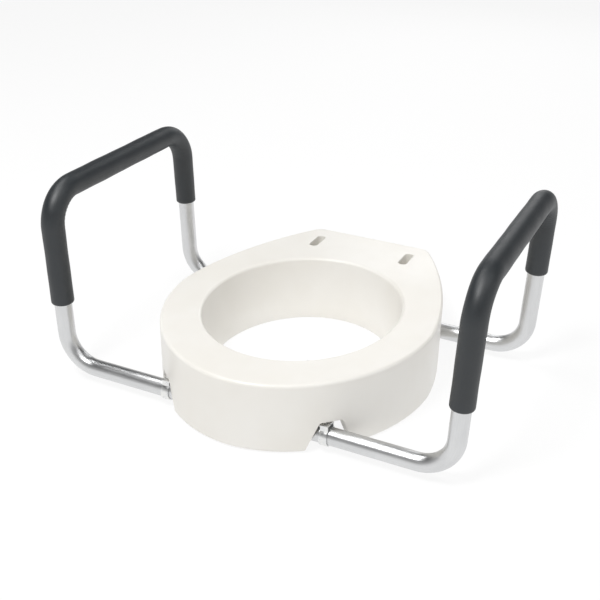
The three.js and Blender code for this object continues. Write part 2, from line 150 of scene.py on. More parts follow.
PILOT_RADIUS = 2.05
PILOT_DEPTH = 12
MERGE = 2  # the ribs and bosses stop this far inside the shell's outer faces
INNER_HALF_SPAN = 23.5

TUBE_RADIUS = 11.1
TUBE_BORE_RADIUS = 9.5
BEND_RADIUS = 44
LEG_Z = 20.2
ARM_X = 261.4
ARM_LEAN = 7.1
GRIP_Z = 248.9
LEGS = {
    "front": {"y": -173.1, "top_y": -171.1, "end_x": 38, "button_x": 58, "wall_x": 113, "foam_z": 105},
    "rear": {"y": 126.3, "top_y": 124.3, "end_x": 60, "button_x": 80, "wall_x": 141.5, "foam_z": 138},
}
FOAM_RADIUS = 14.5
FOAM_BORE_RADIUS = 11.3
FOAM_END_ROUND = 3
FOAM_LEAST_RADIUS = 12
WRINKLE_DEPTH = 0.75
WRINKLE_PITCH = 5.2

NOTCH_TOP = 39.5
NOTCH_TOP_HALF_WIDTH = 9.8
NOTCH_BOTTOM_HALF_WIDTH = 20.5
NOTCH_CORNER = 2.4
NOTCH_SHIFT = 1.5
NOTCH_DEPTH = 32
NOTCH_EDGE = 0.8

STRAP_THICKNESS = 1.5
STRAP_RADIUS = TUBE_RADIUS + GAP
STRAP_EDGE = 0.25
OUTER_STRAP_WIDTH = 10
OUTER_STRAP_NECK = 8.5
OUTER_TAB_REACH = 18
OUTER_TAB_WIDTH = 7.2
INNER_STRAP_WIDTH = 16
INNER_SCREW_OFFSET = 18
SCREW_INSET = 5.5  # from the inboard end of an outer strap's tab
SCREW_HEAD_HEIGHT = 2
BUTTON_RADIUS = 3.1
BUTTON_REACH = 15.6
STRAP_HOLE_PLAY = 0.8
SIDES = {"left": -1, "right": 1}


# ---------- meshes ----------
def mesh_object(name, points, faces):
    mesh = bpy.data.meshes.new(name)
    mesh.from_pydata((np.asarray(points, float) * MM).tolist(), [], faces)
    made = bmesh.new()
    made.from_mesh(mesh)
    bmesh.ops.remove_doubles(made, verts=made.verts, dist=1e-7)
    bmesh.ops.recalc_face_normals(made, faces=made.faces)
    made.to_mesh(mesh)
    made.free()
    piece = bpy.data.objects.new(name, mesh)
    bpy.context.scene.collection.objects.link(piece)
    return piece


def loft(name, rings, closed=False):
    """Faces between rings of equally many points. An open loft is capped at both ends."""
    rings = np.asarray(rings, float)
    count, around = rings.shape[:2]
    faces = []
    for i in range(count if closed else count - 1):
        a, b = i * around, (i + 1) % count * around
        for j in range(around):
            k = (j + 1) % around
            faces.append((a + j, a + k, b + k, b + j))
    if not closed:
        faces.append(tuple(range(around))[::-1])
        faces.append(tuple(range((count - 1) * around, count * around)))
    return mesh_object(name, rings.reshape(-1, 3), faces)


def apply_modifiers(piece):
    graph = bpy.context.evaluated_depsgraph_get()
    old = piece.data
    piece.data = bpy.data.meshes.new_from_object(piece.evaluated_get(graph))
    piece.modifiers.clear()
    bpy.data.meshes.remove(old)
    return piece


def boolean(piece, other, operation):
    """Joins, cuts or trims piece with other, which is used up."""
    modifier = piece.modifiers.new(operation, "BOOLEAN")
    modifier.operation = operation
    modifier.solver = "MANIFOLD"
    modifier.object = other
    apply_modifiers(piece)
    bpy.data.objects.remove(other)
    return piece


def round_edges(piece, width, segments=2, angle=40):
    modifier = piece.modifiers.new("edges", "BEVEL")
    modifier.width = width * MM
    modifier.segments = segments
    modifier.limit_method = "ANGLE"
    modifier.angle_limit = math.radians(angle)
    return apply_modifiers(piece)


def shade(piece, angle=32):
    """Smooth shading, with the edges sharper than the angle kept."""
    made = bmesh.new()
    made.from_mesh(piece.data)
    bmesh.ops.remove_doubles(made, verts=made.verts, dist=1e-7)
    limit = math.radians(angle)
    for face in made.faces:
        face.smooth = True
    for edge in made.edges:
        edge.smooth = edge.is_manifold and edge.calc_face_angle(0) < limit
    made.to_mesh(piece.data)
    made.free()
    return piece


def arc(centre_x, centre_y, radius, start, end, steps):
    angles = np.linspace(start, end, steps + 1)
    return np.stack([centre_x + radius * np.cos(angles), centre_y + radius * np.sin(angles)], 1)


def ring_at(points, z):
    return np.column_stack([points, np.full(len(points), z)])


def turned(name, profile, segments=48):
    """A closed solid turned about Z, from [radius, z] points that start and end on the axis."""
    angles = np.linspace(0, 2 * math.pi, segments, endpoint=False)
    spokes = np.stack([np.cos(angles), np.sin(angles)], 1)
    rings = [ring_at(spokes * radius, z) for radius, z in profile[1:-1]]
    return loft(name, rings)


def column(x, y, radius, low, high, segments=32):
    piece = turned("column", [(0, low), (radius, low), (radius, high), (0, high)], segments)
    piece.data.transform(Matrix.Translation(Vector((x, y, 0)) * MM))
    return piece


def block(low, high):
    (x0, y0, z0), (x1, y1, z1) = low, high
    outline = np.array([[x0, y0], [x1, y0], [x1, y1], [x0, y1]], float)
    return loft("block", [ring_at(outline, z0), ring_at(outline, z1)])


def even_loop(points, count):
    """The same closed line in even steps."""
    closed = np.vstack([points, points[:1]])
    lengths = np.hypot(*np.diff(closed, axis=0).T)
    along = np.concatenate([[0], np.cumsum(lengths)])
    at = np.linspace(0, along[-1], count, endpoint=False)
    return np.stack([np.interp(at, along, closed[:, k]) for k in (0, 1)], 1)


def loop_normals(points):
    """Outward normals of a closed line that runs anticlockwise."""
    along = np.roll(points, -1, 0) - np.roll(points, 1, 0)
    along /= np.linalg.norm(along, axis=1)[:, None]
    return np.stack([along[:, 1], -along[:, 0]], 1)


# ---------- seat shell ----------
def seat_outline(count):
    front_length = HALF_LENGTH + WIDEST_Y
    angles = np.linspace(math.pi / 2, 0, 240)
    front = np.stack([
        HALF_WIDTH * np.clip(np.cos(angles), 0, 1) ** (2 / FRONT_POWER),
        WIDEST_Y - front_length * np.sin(angles) ** (2 / FRONT_POWER),
    ], 1)
    cut = math.asin(((HALF_LENGTH - WIDEST_Y) / SIDE_LENGTH) ** (SIDE_POWER / 2))
    angles = np.linspace(0, cut, 400)[1:]
    side = np.stack([
        HALF_WIDTH * np.cos(angles) ** (2 / SIDE_POWER),
        WIDEST_Y + SIDE_LENGTH * np.sin(angles) ** (2 / SIDE_POWER),
    ], 1)
    corner, before = side[-1], side[-6]
    slope = math.atan2(corner[1] - before[1], corner[0] - before[0])
    setback = BACK_CORNER_RADIUS * math.tan((math.pi - slope) / 2)
    side = side[np.hypot(*(side - corner).T) > setback]
    start = corner - setback * np.array([math.cos(slope), math.sin(slope)])
    centre = start + BACK_CORNER_RADIUS * np.array([-math.sin(slope), math.cos(slope)])
    turn = arc(*centre, BACK_CORNER_RADIUS, slope - math.pi / 2, math.pi / 2, 24)
    right = np.vstack([front, side, turn])
    left = right[right[:, 0] > 1e-3][::-1] * [-1, 1]
    return even_loop(np.vstack([right, left]), count)


OUTLINE_COUNT = 480
OUTLINE = seat_outline(OUTLINE_COUNT)
OUTLINE_NORMALS = loop_normals(OUTLINE)


def opening_angles():
    """For each outline point, the angle of the oval's point that faces it."""
    away = (OUTLINE - [0, OPENING_Y]) / [OPENING_HALF_WIDTH, OPENING_HALF_LENGTH]
    return np.arctan2(away[:, 1], away[:, 0])


OPENING_ANGLES = opening_angles()


def outer_ring(inset, z):
    return ring_at(OUTLINE - OUTLINE_NORMALS * inset, z)


def oval_ring(grow, z, angles=OPENING_ANGLES):
    radius = OPENING_HALF_WIDTH + grow - OPENING_DRAFT / HEIGHT * (TOP - z)
    stretch = OPENING_HALF_LENGTH / OPENING_HALF_WIDTH
    points = np.stack([radius * np.cos(angles), OPENING_Y + radius * stretch * np.sin(angles)], 1)
    return ring_at(points, z)


def quarter(steps):
    return np.linspace(0, math.pi / 2, steps + 1)


def between(first, last, shares):
    return [first * (1 - t) + last * t for t in shares]


def shell_skin():
    """Outer wall, deck, inner wall and undersides, as one closed sweep round the seat."""
    support = 0.4
    rings = [outer_ring(WALL, BOTTOM + EDGE_ROUND), outer_ring(WALL, BOTTOM + 0.6)]
    for angle in quarter(10)[1:]:
        inset, rise = EDGE_ROUND * (1 - math.sin(angle)), EDGE_ROUND * (1 - math.cos(angle))
        rings.append(outer_ring(inset, BOTTOM + rise))
    for z in np.linspace(BOTTOM + EDGE_ROUND + support, TOP - EDGE_ROUND - support, 8):
        rings.append(outer_ring(0, z))
    for angle in quarter(10):
        inset, drop = EDGE_ROUND * (1 - math.cos(angle)), EDGE_ROUND * (1 - math.sin(angle))
        rings.append(outer_ring(inset, TOP - drop))
    rim = [
        oval_ring(RIM_ROUND * (1 - math.cos(angle)), TOP - RIM_ROUND * (1 - math.sin(angle)))
        for angle in quarter(10)
    ]
    rings += between(rings[-1], rim[-1], (0.01, 0.03, 0.2, 0.4, 0.6, 0.8, 0.97, 0.99))
    rings += rim[::-1]
    for z in np.linspace(TOP - RIM_ROUND - support, BOTTOM + 1.2, 8):
        rings.append(oval_ring(0, z))
    rings += [oval_ring(0.35, BOTTOM + 0.35), oval_ring(1.2, BOTTOM), oval_ring(WALL - 0.5, BOTTOM)]
    rings.append(oval_ring(WALL, BOTTOM + 0.5))
    under = TOP - WALL
    rings.append(oval_ring(WALL, under - INNER_FILLET - support))
    fillet = []
    for angle in quarter(5):
        inset = WALL + INNER_FILLET * (1 - math.cos(angle))
        z = under - INNER_FILLET * (1 - math.sin(angle))
        rings.append(oval_ring(inset, z))
        fillet.append(outer_ring(inset, z))
    rings += between(rings[-1], fillet[-1], (0.03, 0.33, 0.66, 0.97))
    rings += fillet[::-1]
    rings.append(outer_ring(WALL, under - INNER_FILLET - support))
    return loft("seat_shell_skin", rings, closed=True)


def slot_outline(x, width, length, steps=16):
    radius, reach = width / 2, (length - width) / 2
    return np.vstack([
        arc(x, BOLT_SLOT_Y + reach, radius, 0, math.pi, steps),
        arc(x, BOLT_SLOT_Y - reach, radius, math.pi, 2 * math.pi, steps),
    ])


def flared(outline, low, high, flare, steps=6):
    """A straight cutter that widens into a quarter round just below its top."""
    normals = loop_normals(outline)
    rings = [ring_at(outline, low)]
    for angle in quarter(steps):
        wider = flare * (1 - math.cos(angle))
        rings.append(ring_at(outline + normals * wider, high - flare * (1 - math.sin(angle))))
    rings.append(ring_at(outline + normals * flare, high + PAST))
    return loft("cutter", rings)


def notch_outline():
    """Half of the notch on each side of its middle line, as offset and height, anticlockwise."""
    slope = (NOTCH_BOTTOM_HALF_WIDTH - NOTCH_TOP_HALF_WIDTH) / (NOTCH_TOP - BOTTOM)
    lean = math.atan(slope)
    low = BOTTOM - 6
    radius = NOTCH_CORNER
    reach = radius * math.tan((math.pi / 2 - lean) / 2)
    centre_y = NOTCH_TOP_HALF_WIDTH - reach
    corner = arc(centre_y, NOTCH_TOP - radius, radius, lean, math.pi / 2, 6)
    foot = NOTCH_TOP_HALF_WIDTH + slope * (NOTCH_TOP - low)
    right = np.vstack([[[foot, low]], corner])
    left = right[::-1] * [-1, 1]
    return np.vstack([right, left])


def wall_x(y, front):
    """The outline's half width at y, on the front curve or on the sides."""
    half = OUTLINE[OUTLINE[:, 0] > 0]
    half = half[half[:, 1] < 0] if front else half[half[:, 1] > 0]
    half = half[np.argsort(half[:, 1])]
    return np.interp(y, half[:, 1], half[:, 0])


def notch_cutter(end, sign):
    leg = LEGS[end]
    outline = notch_outline() + [leg["y"] + NOTCH_SHIFT, 0]
    normals = loop_normals(outline)
    sections = [(0, None)]
    sections += [(NOTCH_EDGE * (1 - math.cos(a)), NOTCH_EDGE * (1 - math.sin(a))) for a in quarter(5)]
    sections.append((NOTCH_EDGE, -15))
    rings = []
    for wider, depth in sections:
        points = outline + normals * wider
        surface = wall_x(points[:, 0], end == "front")
        x = np.full(len(points), leg["wall_x"] - NOTCH_DEPTH) if depth is None else surface - depth
        rings.append(np.column_stack([sign * x, points]))
    return loft("cutter", rings)


def screw_spots(end):
    """x and y of a leg's screws on the right side, and the height at which each boss starts."""
    leg = LEGS[end]
    spots = []
    for strap in ("outer", "inner"):
        top = cad_box(f"{end}_right_{strap}_strap")[1].z
        for number in (1, 2):
            middle = cad_middle(f"{end}_right_{strap}_screw_{number}")
            spots.append((middle.x, middle.y, top))
    return spots


def shell_insides():
    """Ribs and bosses that hang under the deck."""
    under = TOP - MERGE
    pieces = []
    for degrees in RIB_ANGLES:
        half = RIB_THICKNESS / 2
        rib = block((RIB_START, -half, RIB_BOTTOM), (RIB_END, half, under))
        turn = Matrix.Rotation(math.radians(degrees), 4, "Z")
        rib.data.transform(Matrix.Translation((0, OPENING_Y * MM, 0)) @ turn)
        pieces.append(rib)
    for sign in SIDES.values():
        boss = slot_outline(sign * BOLT_X, BOLT_SLOT_WIDTH + 2 * WALL, BOLT_SLOT_LENGTH + 2 * WALL)
        pieces.append(loft("boss", [ring_at(boss, BOLT_BOSS_BOTTOM), ring_at(boss, under)]))
        for end in LEGS:
            for x, y, top in screw_spots(end):
                pieces.append(column(sign * x, y, SCREW_BOSS_RADIUS, top + GAP, under))
            middle, y = sign * LEGS[end]["button_x"], LEGS[end]["y"]
            top = cad_box(f"{end}_right_inner_strap")[1].z + GAP
            half = RIB_THICKNESS / 2
            pieces.append(block(
                (middle - half, y - INNER_HALF_SPAN, top),
                (middle + half, y + INNER_HALF_SPAN, under),
            ))
            pad = cad_middle(f"{end}_right_foot_pad")
            pieces.append(column(sign * pad.x, pad.y, PAD_BOSS_RADIUS, BOTTOM + PAD_BOSS_SET_UP, under, 48))
    insides = pieces[0]
    for piece in pieces[1:]:
        boolean(insides, piece, "UNION")
    room = loft("room", [outer_ring(MERGE, BOTTOM), outer_ring(MERGE, TOP)])
    boolean(insides, room, "INTERSECT")
    angles = np.linspace(0, 2 * math.pi, 240, endpoint=False)
    well = loft("well", [oval_ring(MERGE, BOTTOM - PAST, angles), oval_ring(MERGE, TOP + PAST, angles)])
    return boolean(insides, well, "DIFFERENCE")


def seat_shell():
    shell = boolean(shell_skin(), shell_insides(), "UNION")
    for sign in SIDES.values():
        slot = slot_outline(sign * BOLT_X, BOLT_SLOT_WIDTH, BOLT_SLOT_LENGTH)
        boolean(shell, flared(slot, BOLT_BOSS_BOTTOM - PAST, TOP, SLOT_FLARE), "DIFFERENCE")
        for end in LEGS:
            for x, y, top in screw_spots(end):
                boolean(shell, column(sign * x, y, PILOT_RADIUS, top - PAST, top + PILOT_DEPTH), "DIFFERENCE")
            pad = cad_middle(f"{end}_right_foot_pad")
            hole = column(sign * pad.x, pad.y, PAD_HOLE_RADIUS, BOTTOM - PAST, PAD_HOLE_TOP)
            boolean(shell, hole, "DIFFERENCE")
            boolean(shell, notch_cutter(end, sign), "DIFFERENCE")
    return shade(shell, 28)


# ---------- bent tubes ----------
def bent_line(corners, radius, step):
    """Points and directions along a line with rounded corners."""
    corners = [Vector(c) for c in corners]
    line = [(corners[0], (corners[1] - corners[0]).normalized())]

    def straight(end, direction):
        start = line[-1][0].copy()
        count = max(1, round((end - start).length / step))
        for i in range(1, count + 1):
            line.append((start.lerp(end, i / count), direction))

    for before, corner, after in zip(corners, corners[1:], corners[2:]):
        into, out = (corner - before).normalized(), (after - corner).normalized()
        turn = into.angle(out)
        start = corner - into * radius * math.tan(turn / 2)
        straight(start, into)
        inward = (out - into * out.dot(into)).normalized()
        count = max(8, round(radius * turn / step))
        for i in range(1, count + 1):
            angle = turn * i / count
            point = start + into * radius * math.sin(angle) + inward * radius * (1 - math.cos(angle))
            line.append((point, into * math.cos(angle) + inward * math.sin(angle)))
    straight(corners[-1], (corners[-1] - corners[-2]).normalized())
    return line


class Spine:
    """A bent line with a frame that doesn't twist, measured along its length."""

    def __init__(self, line):
        self.points = np.array([p for p, _ in line])
        self.tangents = np.array([t for _, t in line])
        self.along = np.concatenate([[0], np.cumsum(np.linalg.norm(np.diff(self.points, axis=0), axis=1))])
        sides = []
        side = Vector((0, 0, 1)) if abs(self.tangents[0][2]) < 0.5 else Vector((1, 0, 0))
        for tangent in self.tangents:
            tangent = Vector(tangent)
            side = (side - tangent * side.dot(tangent)).normalized()
            sides.append(side.copy())
        self.sides = np.array(sides)
        self.others = np.cross(self.tangents, self.sides)

    def ring(self, index, radius, angles, shift=0.0):
        """Points round station index at the given radius, moved along the line by shift."""
        radius = np.broadcast_to(radius, angles.shape)[:, None]
        out = np.cos(angles)[:, None] * self.sides[index] + np.sin(angles)[:, None] * self.others[index]
        return self.points[index] + self.tangents[index] * shift + out * radius

    def mark(self, piece):
        """Stores each vertex's place round and along the line, for the material's grain."""
        co = np.array([v.co for v in piece.data.vertices]) / MM
        values = np.empty_like(co)
        for start in range(0, len(co), 4000):
            part = co[start:start + 4000]
            away = np.linalg.norm(part[:, None] - self.points[None], axis=2)
            near = away.argmin(1)
            off = part - self.points[near]
            values[start:start + 4000, 0] = (off * self.sides[near]).sum(1)
            values[start:start + 4000, 1] = (off * self.others[near]).sum(1)
            values[start:start + 4000, 2] = self.along[near] + (off * self.tangents[near]).sum(1)
        attribute = piece.data.attributes.new("grain_place", "FLOAT_VECTOR", "POINT")
        attribute.data.foreach_set("vector", (values * MM).astype(np.float32).ravel())


def arm_corners(sign):
    front, rear = LEGS["front"], LEGS["rear"]
    top_x = ARM_X + ARM_LEAN
    return [
        (sign * front["end_x"], front["y"], LEG_Z),
        (sign * ARM_X, front["y"], LEG_Z),
        (sign * top_x, front["top_y"], GRIP_Z),
        (sign * top_x, rear["top_y"], GRIP_Z),
        (sign * ARM_X, rear["y"], LEG_Z),
        (sign * rear["end_x"], rear["y"], LEG_Z),
    ]


def arm_tube(side, sign):
    spine = Spine(bent_line(arm_corners(sign), BEND_RADIUS, 4))
    angles = np.linspace(0, 2 * math.pi, 64, endpoint=False)
    last = len(spine.points) - 1
    round_off = 0.5
    rings = []
    for index, ahead in ((0, 1), (last, -1)):
        order = [
            spine.ring(index, TUBE_BORE_RADIUS + round_off, angles),
            spine.ring(index, TUBE_RADIUS - round_off, angles),
            spine.ring(index, TUBE_RADIUS - 0.15, angles, ahead * 0.15),
            spine.ring(index, TUBE_RADIUS, angles, ahead * round_off),
        ]
        if ahead > 0:
            rings += order
            rings += [spine.ring(i, TUBE_RADIUS, angles) for i in range(1, last)]
        else:
            rings += order[::-1]
    rings.append(spine.ring(last, TUBE_BORE_RADIUS, angles, -round_off))
    rings += [spine.ring(i, TUBE_BORE_RADIUS, angles) for i in range(last - 1, 0, -1)]
    rings.append(spine.ring(0, TUBE_BORE_RADIUS, angles, round_off))
    tube = loft(f"{side}_arm_tube_skin", rings, closed=True)
    for leg in LEGS.values():
        hole = column(sign * leg["button_x"], leg["y"], BUTTON_RADIUS + GAP, 0, LEG_Z)
        boolean(tube, hole, "DIFFERENCE")
    spine.mark(tube)
    return shade(tube)


def bend_centres(spine):
    """Where along the grip each bend's middle is, and the direction to its inner side."""
    turning = np.linalg.norm(np.diff(spine.tangents, axis=0), axis=1) > 1e-6
    found, start = [], None
    for i, bent in enumerate(np.append(turning, False)):
        if bent and start is None:
            start = i
        if not bent and start is not None:
            inward = spine.tangents[i] - spine.tangents[start]
            found.append((spine.along[start], spine.along[i], inward / np.linalg.norm(inward)))
            start = None
    return found


def wrinkle_depth(spine, index, out, seed):
    """How far the foam's surface is pressed in: folds on the inner side of each bend."""
    depth = np.zeros(len(out))
    along = spine.along[index]
    for number, (start, end, inward) in enumerate(bend_centres(spine)):
        middle, half = (start + end) / 2, (end - start) / 2 + 6
        share = abs(along - middle) / half
        if share >= 1:
            continue
        inner = np.clip(out @ inward, 0, 1) ** 1.5
        wobble = 1.6 * np.sin(3.1 * (out @ spine.tangents[0]) + seed + number)
        phase = (along - start + wobble) / (WRINKLE_PITCH + 0.9 * math.sin(seed + 2.3 * number))
        fold = (0.5 + 0.5 * np.cos(2 * math.pi * phase)) ** 3
        depth += WRINKLE_DEPTH * (1 - share ** 2) * inner * fold
    return depth


def arm_grip(side, sign):
    corners = [Vector(c) for c in arm_corners(sign)[1:5]]

    def at_height(foot, top, z):
        return foot.lerp(top, (z - LEG_Z) / (GRIP_Z - LEG_Z))

    start = at_height(corners[0], corners[1], LEGS["front"]["foam_z"])
    end = at_height(corners[3], corners[2], LEGS["rear"]["foam_z"])
    spine = Spine(bent_line([start, corners[1], corners[2], end], BEND_RADIUS, 1.2))
    angles = np.linspace(0, 2 * math.pi, 72, endpoint=False)
    last = len(spine.points) - 1
    seed = 0.7 if sign < 0 else 2.9
    outer = []
    for i in range(last + 1):
        from_end = min(spine.along[i], spine.along[last] - spine.along[i])
        fall = max(0, 1 - from_end / FOAM_END_ROUND)
        radius = FOAM_RADIUS - FOAM_END_ROUND * (1 - math.sqrt(max(0, 1 - fall ** 2)))
        out = np.cos(angles)[:, None] * spine.sides[i] + np.sin(angles)[:, None] * spine.others[i]
        waver = 0.12 * np.sin(spine.along[i] / 17 + seed) + 0.08 * np.sin(spine.along[i] / 7.3 + 2 * angles)
        dent = wrinkle_depth(spine, i, out, seed)
        if 0 < i < last:
            surface = radius - 0.15 + waver * (1 - fall) - dent
            outer.append(spine.ring(i, np.maximum(surface, FOAM_LEAST_RADIUS), angles))
        else:
            outer.append(spine.ring(i, FOAM_LEAST_RADIUS, angles))
    inner = [spine.ring(i, FOAM_BORE_RADIUS, angles) for i in range(last, -1, -3)]
    grip = loft(f"{side}_arm_grip_foam", outer + inner, closed=True)
    spine.mark(grip)
    return shade(grip, 60)


# ---------- straps and screws ----------
def band_outline(top, leg_offset, lip):
    outer = STRAP_RADIUS + STRAP_THICKNESS
    outer_rise = math.acos(min(1, leg_offset / outer))
    inner_rise = math.acos(min(1, (leg_offset - STRAP_THICKNESS) / STRAP_RADIUS))
    foot = top - STRAP_THICKNESS
    right = [[leg_offset, top]]
    if lip:
        right = [[leg_offset, foot], [leg_offset + lip, foot], [leg_offset + lip, top]]
    left = [[-y, z] for y, z in right[::-1]]
    parts = [left, arc(0, 0, outer, math.pi - outer_rise, 2 * math.pi + outer_rise, 40), right]
    parts.append([[leg_offset - STRAP_THICKNESS, top]])
    parts.append(arc(0, 0, STRAP_RADIUS, 2 * math.pi + inner_rise, math.pi - inner_rise, 40))
    parts.append([[-leg_offset + STRAP_THICKNESS, top]])
    return np.vstack(parts)


def run_along_x(name, outline, low, high):
    return loft(name, [np.column_stack([np.full(len(outline), x), outline]) for x in (low, high)])


def pilot_hole(x, y, top):
    return column(x, y, PILOT_RADIUS, top - STRAP_THICKNESS - PAST, top + PAST)


def outer_strap(name):
    """Drawn for the right side: the outer face at x = 0, the tabs inboard, the tube's axis at the origin."""
    top = cad_box("front_right_outer_strap")[1].z - LEG_Z
    band = run_along_x(name, band_outline(top, OUTER_STRAP_NECK, 0), -OUTER_STRAP_WIDTH, 0)
    for sign in (-1, 1):
        inner, outer = OUTER_STRAP_NECK - OUTER_TAB_WIDTH, OUTER_STRAP_NECK
        middle, half = sign * (inner + outer) / 2, (outer - inner) / 2
        reach = OUTER_STRAP_WIDTH + OUTER_TAB_REACH - half
        tip = arc(-reach, middle, half - 0.01, math.pi / 2, 3 * math.pi / 2, 12)
        outline = np.vstack([tip, [[-0.01, middle - half + 0.01], [-0.01, middle + half - 0.01]]])
        tab = loft("tab", [ring_at(outline, top - STRAP_THICKNESS), ring_at(outline, top)])
        boolean(band, tab, "UNION")
        screw_x = SCREW_INSET - OUTER_STRAP_WIDTH - OUTER_TAB_REACH
        boolean(band, pilot_hole(screw_x, middle, top), "DIFFERENCE")
    return shade(round_edges(band, STRAP_EDGE))


def inner_strap(name):
    top = cad_box("front_right_inner_strap")[1].z - LEG_Z
    offset = STRAP_RADIUS + STRAP_THICKNESS
    half = INNER_STRAP_WIDTH / 2
    band = run_along_x(name, band_outline(top, offset, INNER_HALF_SPAN - offset), -half, half)
    for y in (-INNER_SCREW_OFFSET, INNER_SCREW_OFFSET):
        boolean(band, pilot_hole(0, y, top), "DIFFERENCE")
    boolean(band, column(0, 0, BUTTON_RADIUS + STRAP_HOLE_PLAY, -BUTTON_REACH, 0), "DIFFERENCE")
    return shade(round_edges(band, STRAP_EDGE))


def strap_screw(name):
    """Cross-head screw, its head down at z = 0 and its point up, with a real thread."""
    head_radius, core, crest, length, pitch = 3.4, 1.25, 1.75, 11.0, 1.4
    segments = 24
    angles = np.linspace(0, 2 * math.pi, segments, endpoint=False)
    spokes = np.stack([np.cos(angles), np.sin(angles)], 1)
    rings = []
    for share in (0.25, 0.5, 0.7, 0.85, 0.95, 1):
        z = -SCREW_HEAD_HEIGHT + 1.3 * (1 - math.sqrt(1 - (share * 0.92) ** 2))
        rings.append(ring_at(spokes * head_radius * share, z))
    rings.append(ring_at(spokes * head_radius, -0.3))
    rings.append(ring_at(spokes * (head_radius - 0.3), 0))
    rings.append(ring_at(spokes * crest, 0))
    for z in np.arange(0.3, length - 0.1, pitch / 8):
        phase = (z / pitch - angles / (2 * math.pi)) % 1
        ridge = np.clip(1 - abs(phase - 0.5) / 0.3, 0, 1)
        taper = min(1, (length - z) / 2.5, z / 0.8)
        radius = core * min(1, (length - z) / 2 + 0.15) + (crest - core) * ridge * max(0, taper)
        rings.append(ring_at(spokes * radius[:, None], z))
    rings.append(ring_at(spokes * 0.1, length - 0.1))
    screw = loft(name, rings)
    for angle in (0, math.pi / 2):
        top, low, half = -SCREW_HEAD_HEIGHT - 0.5, -0.7, 0.45
        outline = np.array([[-1.9, -half], [1.9, -half], [1.9, half], [-1.9, half]])
        narrow = outline * [0.45, 0.8]
        wing = loft("wing", [ring_at(outline, top), ring_at(narrow, low)])
        wing.data.transform(Matrix.Rotation(angle, 4, "Z"))
        boolean(screw, wing, "DIFFERENCE")
    return shade(screw, 40)


# ---------- buttons, springs, pads ----------
SPRING_LOW, SPRING_TOP = -6.3, 8.1  # from the tube's axis


def snap_button(name):
    """Tip down, about the tube's axis."""
    radius, tip = BUTTON_RADIUS, -BUTTON_REACH
    flange_radius, flange_low, flange_thick = 4.4, -7.8, 1.2
    profile = [(0, tip)]
    for angle in quarter(10)[1:]:
        profile.append((radius * math.sin(angle), tip + 2.0 * (1 - math.cos(angle))))
    profile += [
        (radius, flange_low - 0.2), (radius + 0.2, flange_low), (flange_radius - 0.2, flange_low),
        (flange_radius, flange_low + 0.2), (flange_radius, flange_low + flange_thick - 0.2),
        (flange_radius - 0.2, flange_low + flange_thick), (0, flange_low + flange_thick),
    ]
    return shade(turned(name, profile, 40), 50)


def rounded_line(points, passes=3):
    points = np.asarray(points, float)
    for _ in range(passes):
        near, far = points[:-1] * 0.75 + points[1:] * 0.25, points[:-1] * 0.25 + points[1:] * 0.75
        points = np.vstack([points[:1], np.stack([near, far], 1).reshape(-1, 2), points[-1:]])
    return points


def button_spring(name):
    """A strip folded back on itself, its fold outboard on the right side."""
    half_thick, half_wide = 0.4, 3.2
    low, high = SPRING_LOW + half_thick, SPRING_TOP - half_thick
    fold = [(31, -2.2), (33.6, -0.8), (33.6, 1.2), (31, 3.0)]
    line = rounded_line([(-4, low), (6, low), *fold, (6, high), (-4, high)])
    along = np.gradient(line, axis=0)
    along /= np.linalg.norm(along, axis=1)[:, None]
    normals = np.stack([-along[:, 1], along[:, 0]], 1)
    outline = np.vstack([line + normals * half_thick, (line - normals * half_thick)[::-1]])
    rings = []
    for y in (-half_wide, half_wide):
        rings.append(np.column_stack([outline[:, 0], np.full(len(outline), y), outline[:, 1]]))
    return shade(round_edges(loft(name, rings), 0.12, 1))


def foot_pad(name):
    radius, thick, stem, stem_top, edge = 11.0, 3.2, 3.6, 10.5, 1.0
    profile = [(0, 0.6), (2.5, 0.6), (3.2, 0.1), (3.7, 0), (radius - edge, 0)]
    for angle in quarter(6)[1:]:
        profile.append((radius - edge * (1 - math.sin(angle)), edge * (1 - math.cos(angle))))
    profile += [
        (radius, thick - 0.4), (radius - 0.4, thick), (stem + 0.4, thick), (stem, thick + 0.4),
        (stem, stem_top - 2.2), (stem + 0.2, stem_top - 1.8), (stem + 0.2, stem_top - 1.2),
        (stem - 0.6, stem_top), (0, stem_top),
    ]
    return shade(turned(name, profile, 56), 40)


# ---------- materials ----------
def new_material(name, colour, roughness, metallic=0.0, **inputs):
    material = bpy.data.materials.new(name)
    material.use_nodes = True
    shader = material.node_tree.nodes["Principled BSDF"]
    shader.inputs["Base Color"].default_value = (*colour, 1)
    shader.inputs["Roughness"].default_value = roughness
    shader.inputs["Metallic"].default_value = metallic
    for socket, value in inputs.items():
        shader.inputs[socket.replace("_", " ")].default_value = value
    return material, material.node_tree, shader


def place(tree, scale=(1, 1, 1), attribute=None):
    """Coordinates in metres, in the part's frame or along a tube, stretched by scale."""
    if attribute:
        source = tree.nodes.new("ShaderNodeAttribute")
        source.attribute_name = attribute
        vector = source.outputs["Vector"]
    else:
        vector = tree.nodes.new("ShaderNodeTexCoord").outputs["Object"]
    mapping = tree.nodes.new("ShaderNodeMapping")
    mapping.inputs["Scale"].default_value = scale
    tree.links.new(vector, mapping.inputs["Vector"])
    return mapping.outputs["Vector"]


def noise(tree, vector, scale, detail=3.0, roughness=0.55):
    node = tree.nodes.new("ShaderNodeTexNoise")
    node.inputs["Scale"].default_value = scale
    node.inputs["Detail"].default_value = detail
    node.inputs["Roughness"].default_value = roughness
    tree.links.new(vector, node.inputs["Vector"])
    return node.outputs["Fac"]


def spread(tree, value, low, high, to_low=0.0, to_high=1.0):
    node = tree.nodes.new("ShaderNodeMapRange")
    for socket, number in zip(("From Min", "From Max", "To Min", "To Max"), (low, high, to_low, to_high)):
        node.inputs[socket].default_value = number
    tree.links.new(value, node.inputs["Value"])
    return node.outputs["Result"]


